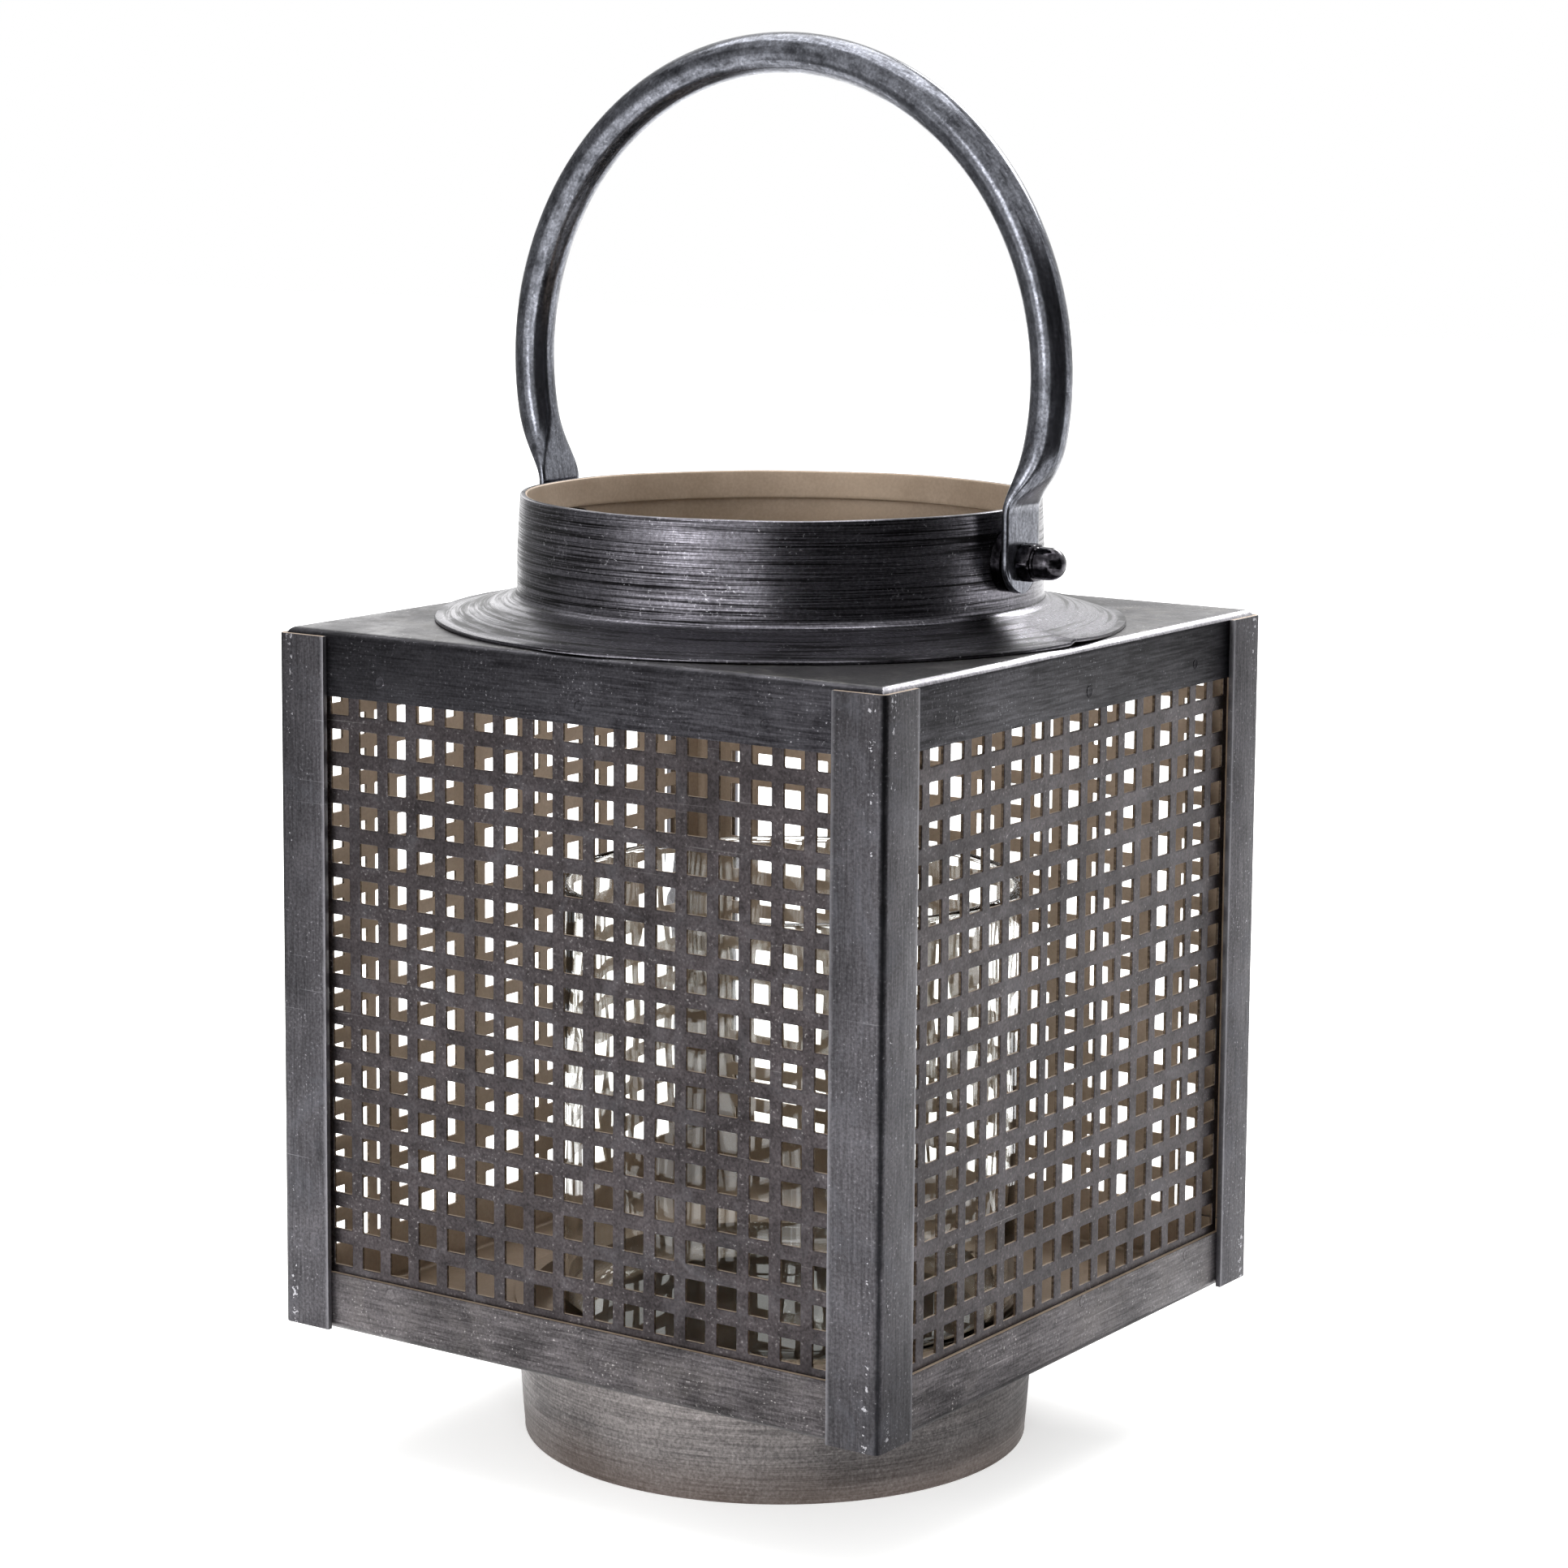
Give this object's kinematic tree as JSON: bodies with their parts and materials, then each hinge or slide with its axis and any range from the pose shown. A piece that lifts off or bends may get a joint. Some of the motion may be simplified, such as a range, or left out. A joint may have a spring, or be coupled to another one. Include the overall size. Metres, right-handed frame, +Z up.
{
  "type": "candle lantern",
  "caption": "Square perforated metal candle lantern with an open round neck, a round foot, a swinging tube handle and a lift-out glass cylinder.",
  "frame": {"origin": "middle of the foot at floor level, on the axis of the round neck and foot", "axes": "+Z up; X runs through both handle pivots; -Y is the front perforated panel; the handle swings in the YZ plane"},
  "size_m": [0.16, 0.16, 0.3189],
  "materials": {
    "pan_steel": "blackened, satin, brushed along the skirts",
    "ring_steel": "blackened, brushed around",
    "foot_steel": "pewter, brushed around",
    "post_steel": "blackened, brushed lengthways with bright worn edges",
    "panel_steel": "blackened and finely speckled",
    "inside_paint": "satin champagne paint",
    "clear_glass": "clear",
    "handle_steel": "blackened, satin, drawn lengthways",
    "fastener_black": "black nickel, polished"
  },
  "bodies": {
    "lantern": {"top_pan": "pan_steel", "bottom_pan": "pan_steel", "neck_ring": "ring_steel", "foot_ring": "foot_steel", "post_front_left": "post_steel", "post_front_right": "post_steel", "post_back_left": "post_steel", "post_back_right": "post_steel", "panel_front": "panel_steel", "panel_right": "panel_steel", "panel_back": "panel_steel", "panel_left": "panel_steel", "glass_dish": "inside_paint", "pivot_screw_left": "fastener_black", "pivot_screw_right": "fastener_black", "spacer_left": "fastener_black", "spacer_right": "fastener_black", "cap_nut_left": "fastener_black", "cap_nut_right": "fastener_black"},
    "handle": {"handle": "handle_steel"},
    "glass": {"glass_cylinder": "clear_glass"}
  },
  "joints": [
    {"name": "handle_swing", "type": "hinge", "parent": "lantern", "child": "handle", "pos_m": [0, 0, 0.205], "axis": [1, 0, 0], "range_deg": [-98, 98]},
    {"name": "glass_lift", "type": "slide", "parent": "lantern", "child": "glass", "axis": [0, 0, 1], "range_m": [0, 0.148]}
  ]
}
